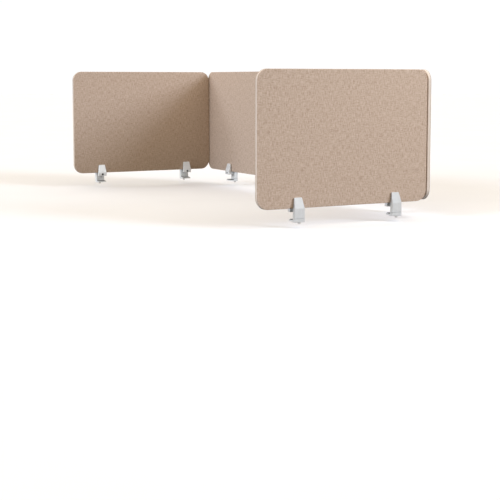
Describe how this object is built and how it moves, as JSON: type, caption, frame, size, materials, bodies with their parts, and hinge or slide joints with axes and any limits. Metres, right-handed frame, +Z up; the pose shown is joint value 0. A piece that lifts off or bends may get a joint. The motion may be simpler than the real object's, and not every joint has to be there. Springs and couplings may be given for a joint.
{
  "type": "desk privacy panel",
  "caption": "Set of fabric-faced privacy screens for the left, back and right edges of a desk, with cream edge bands, carried on screw clamps that grip the desktop.",
  "frame": {"origin": "on the desktop plane, in the middle of the back panel's inner face", "axes": "+X along the desk from left to right as its user sees it, +Y from the user to the back, +Z up"},
  "size_m": [1.556, 0.631, 0.4513],
  "materials": {
    "heathered_fabric": "heathered beige woven cloth",
    "edge_band": "cream, soft satin",
    "core_board": "raw fibreboard, hidden inside",
    "satin_aluminium": "satin silver",
    "dark_steel": "black oxide",
    "bright_steel": "zinc plated",
    "rubber_liner": "matt"
  },
  "bodies": {
    "clamps": {"clamp_left_front_body": "satin_aluminium", "clamp_left_front_outer_pad": "rubber_liner", "clamp_left_rear_body": "satin_aluminium", "clamp_left_rear_outer_pad": "rubber_liner", "clamp_back_left_body": "satin_aluminium", "clamp_back_left_outer_pad": "rubber_liner", "clamp_back_right_body": "satin_aluminium", "clamp_back_right_outer_pad": "rubber_liner", "clamp_right_front_body": "satin_aluminium", "clamp_right_front_outer_pad": "rubber_liner", "clamp_right_rear_body": "satin_aluminium", "clamp_right_rear_outer_pad": "rubber_liner"},
    "left_panel": {"left_core": "core_board", "left_inner_face": "heathered_fabric", "left_outer_face": "heathered_fabric", "left_edge_band": "edge_band"},
    "back_panel": {"back_core": "core_board", "back_inner_face": "heathered_fabric", "back_outer_face": "heathered_fabric", "back_edge_band": "edge_band"},
    "right_panel": {"right_core": "core_board", "right_inner_face": "heathered_fabric", "right_outer_face": "heathered_fabric", "right_edge_band": "edge_band"},
    "left_front_cheek": {"clamp_left_front_inner_cheek": "satin_aluminium", "clamp_left_front_inner_pad": "rubber_liner"},
    "left_front_cheek_bolt": {"clamp_left_front_cheek_bolt": "dark_steel"},
    "left_front_jaw": {"clamp_left_front_lower_jaw": "satin_aluminium", "clamp_left_front_jaw_pad": "rubber_liner"},
    "left_front_jaw_bolt": {"clamp_left_front_jaw_bolt": "bright_steel"},
    "left_rear_cheek": {"clamp_left_rear_inner_cheek": "satin_aluminium", "clamp_left_rear_inner_pad": "rubber_liner"},
    "left_rear_cheek_bolt": {"clamp_left_rear_cheek_bolt": "dark_steel"},
    "left_rear_jaw": {"clamp_left_rear_lower_jaw": "satin_aluminium", "clamp_left_rear_jaw_pad": "rubber_liner"},
    "left_rear_jaw_bolt": {"clamp_left_rear_jaw_bolt": "bright_steel"},
    "back_left_cheek": {"clamp_back_left_inner_cheek": "satin_aluminium", "clamp_back_left_inner_pad": "rubber_liner"},
    "back_left_cheek_bolt": {"clamp_back_left_cheek_bolt": "dark_steel"},
    "back_left_jaw": {"clamp_back_left_lower_jaw": "satin_aluminium", "clamp_back_left_jaw_pad": "rubber_liner"},
    "back_left_jaw_bolt": {"clamp_back_left_jaw_bolt": "bright_steel"},
    "back_right_cheek": {"clamp_back_right_inner_cheek": "satin_aluminium", "clamp_back_right_inner_pad": "rubber_liner"},
    "back_right_cheek_bolt": {"clamp_back_right_cheek_bolt": "dark_steel"},
    "back_right_jaw": {"clamp_back_right_lower_jaw": "satin_aluminium", "clamp_back_right_jaw_pad": "rubber_liner"},
    "back_right_jaw_bolt": {"clamp_back_right_jaw_bolt": "bright_steel"},
    "right_front_cheek": {"clamp_right_front_inner_cheek": "satin_aluminium", "clamp_right_front_inner_pad": "rubber_liner"},
    "right_front_cheek_bolt": {"clamp_right_front_cheek_bolt": "dark_steel"},
    "right_front_jaw": {"clamp_right_front_lower_jaw": "satin_aluminium", "clamp_right_front_jaw_pad": "rubber_liner"},
    "right_front_jaw_bolt": {"clamp_right_front_jaw_bolt": "bright_steel"},
    "right_rear_cheek": {"clamp_right_rear_inner_cheek": "satin_aluminium", "clamp_right_rear_inner_pad": "rubber_liner"},
    "right_rear_cheek_bolt": {"clamp_right_rear_cheek_bolt": "dark_steel"},
    "right_rear_jaw": {"clamp_right_rear_lower_jaw": "satin_aluminium", "clamp_right_rear_jaw_pad": "rubber_liner"},
    "right_rear_jaw_bolt": {"clamp_right_rear_jaw_bolt": "bright_steel"}
  },
  "joints": [
    {"name": "left_panel_lift", "type": "slide", "parent": "clamps", "child": "left_panel", "axis": [0, 0, 1], "range_m": [0, 0.036]},
    {"name": "back_panel_lift", "type": "slide", "parent": "clamps", "child": "back_panel", "axis": [0, 0, 1], "range_m": [0, 0.036]},
    {"name": "right_panel_lift", "type": "slide", "parent": "clamps", "child": "right_panel", "axis": [0, 0, 1], "range_m": [0, 0.036]},
    {"name": "left_front_cheek_slide", "type": "slide", "parent": "clamps", "child": "left_front_cheek", "axis": [1, 0, 0], "range_m": [0, 0.004]},
    {"name": "left_front_cheek_bolt_turn", "type": "hinge", "parent": "left_front_cheek", "child": "left_front_cheek_bolt", "pos_m": [-0.7395, -0.489, 0.0062], "axis": [1, 0, 0], "range_deg": [0, 1801]},
    {"name": "left_front_jaw_slide", "type": "slide", "parent": "clamps", "child": "left_front_jaw", "axis": [0, 0, -1], "range_m": [0, 0.012]},
    {"name": "left_front_jaw_bolt_turn", "type": "hinge", "parent": "left_front_jaw", "child": "left_front_jaw_bolt", "pos_m": [-0.77295, -0.489, -0.0283], "axis": [0, 0, -1], "range_deg": [0, 5401]},
    {"name": "left_rear_cheek_slide", "type": "slide", "parent": "clamps", "child": "left_rear_cheek", "axis": [1, 0, 0], "range_m": [0, 0.004]},
    {"name": "left_rear_cheek_bolt_turn", "type": "hinge", "parent": "left_rear_cheek", "child": "left_rear_cheek_bolt", "pos_m": [-0.7395, -0.111, 0.0062], "axis": [1, 0, 0], "range_deg": [0, 1801]},
    {"name": "left_rear_jaw_slide", "type": "slide", "parent": "clamps", "child": "left_rear_jaw", "axis": [0, 0, -1], "range_m": [0, 0.012]},
    {"name": "left_rear_jaw_bolt_turn", "type": "hinge", "parent": "left_rear_jaw", "child": "left_rear_jaw_bolt", "pos_m": [-0.77295, -0.111, -0.0283], "axis": [0, 0, -1], "range_deg": [0, 5401]},
    {"name": "back_left_cheek_slide", "type": "slide", "parent": "clamps", "child": "back_left_cheek", "axis": [0, -1, 0], "range_m": [0, 0.004]},
    {"name": "back_left_cheek_bolt_turn", "type": "hinge", "parent": "back_left_cheek", "child": "back_left_cheek_bolt", "pos_m": [-0.56388, -0.0105, 0.0062], "axis": [0, -1, 0], "range_deg": [0, 1801]},
    {"name": "back_left_jaw_slide", "type": "slide", "parent": "clamps", "child": "back_left_jaw", "axis": [0, 0, -1], "range_m": [0, 0.012]},
    {"name": "back_left_jaw_bolt_turn", "type": "hinge", "parent": "back_left_jaw", "child": "back_left_jaw_bolt", "pos_m": [-0.56388, 0.02295, -0.0283], "axis": [0, 0, -1], "range_deg": [0, 5401]},
    {"name": "back_right_cheek_slide", "type": "slide", "parent": "clamps", "child": "back_right_cheek", "axis": [0, -1, 0], "range_m": [0, 0.004]},
    {"name": "back_right_cheek_bolt_turn", "type": "hinge", "parent": "back_right_cheek", "child": "back_right_cheek_bolt", "pos_m": [0.56388, -0.0105, 0.0062], "axis": [0, -1, 0], "range_deg": [0, 1801]},
    {"name": "back_right_jaw_slide", "type": "slide", "parent": "clamps", "child": "back_right_jaw", "axis": [0, 0, -1], "range_m": [0, 0.012]},
    {"name": "back_right_jaw_bolt_turn", "type": "hinge", "parent": "back_right_jaw", "child": "back_right_jaw_bolt", "pos_m": [0.56388, 0.02295, -0.0283], "axis": [0, 0, -1], "range_deg": [0, 5401]},
    {"name": "right_front_cheek_slide", "type": "slide", "parent": "clamps", "child": "right_front_cheek", "axis": [-1, 0, 0], "range_m": [0, 0.004]},
    {"name": "right_front_cheek_bolt_turn", "type": "hinge", "parent": "right_front_cheek", "child": "right_front_cheek_bolt", "pos_m": [0.7395, -0.4686, 0.0062], "axis": [-1, 0, 0], "range_deg": [0, 1801]},
    {"name": "right_front_jaw_slide", "type": "slide", "parent": "clamps", "child": "right_front_jaw", "axis": [0, 0, -1], "range_m": [0, 0.012]},
    {"name": "right_front_jaw_bolt_turn", "type": "hinge", "parent": "right_front_jaw", "child": "right_front_jaw_bolt", "pos_m": [0.77295, -0.4686, -0.0283], "axis": [0, 0, -1], "range_deg": [0, 5401]},
    {"name": "right_rear_cheek_slide", "type": "slide", "parent": "clamps", "child": "right_rear_cheek", "axis": [-1, 0, 0], "range_m": [0, 0.004]},
    {"name": "right_rear_cheek_bolt_turn", "type": "hinge", "parent": "right_rear_cheek", "child": "right_rear_cheek_bolt", "pos_m": [0.7395, -0.123, 0.0062], "axis": [-1, 0, 0], "range_deg": [0, 1801]},
    {"name": "right_rear_jaw_slide", "type": "slide", "parent": "clamps", "child": "right_rear_jaw", "axis": [0, 0, -1], "range_m": [0, 0.012]},
    {"name": "right_rear_jaw_bolt_turn", "type": "hinge", "parent": "right_rear_jaw", "child": "right_rear_jaw_bolt", "pos_m": [0.77295, -0.123, -0.0283], "axis": [0, 0, -1], "range_deg": [0, 5401]}
  ],
  "couplings": [
    {"joint": "left_front_cheek_bolt_turn", "follows": "left_front_cheek_slide", "rad_per_m": 7854},
    {"joint": "left_front_jaw_bolt_turn", "follows": "left_front_jaw_slide", "rad_per_m": 7854},
    {"joint": "left_rear_cheek_bolt_turn", "follows": "left_rear_cheek_slide", "rad_per_m": 7854},
    {"joint": "left_rear_jaw_bolt_turn", "follows": "left_rear_jaw_slide", "rad_per_m": 7854},
    {"joint": "back_left_cheek_bolt_turn", "follows": "back_left_cheek_slide", "rad_per_m": 7854},
    {"joint": "back_left_jaw_bolt_turn", "follows": "back_left_jaw_slide", "rad_per_m": 7854},
    {"joint": "back_right_cheek_bolt_turn", "follows": "back_right_cheek_slide", "rad_per_m": 7854},
    {"joint": "back_right_jaw_bolt_turn", "follows": "back_right_jaw_slide", "rad_per_m": 7854},
    {"joint": "right_front_cheek_bolt_turn", "follows": "right_front_cheek_slide", "rad_per_m": 7854},
    {"joint": "right_front_jaw_bolt_turn", "follows": "right_front_jaw_slide", "rad_per_m": 7854},
    {"joint": "right_rear_cheek_bolt_turn", "follows": "right_rear_cheek_slide", "rad_per_m": 7854},
    {"joint": "right_rear_jaw_bolt_turn", "follows": "right_rear_jaw_slide", "rad_per_m": 7854}
  ]
}
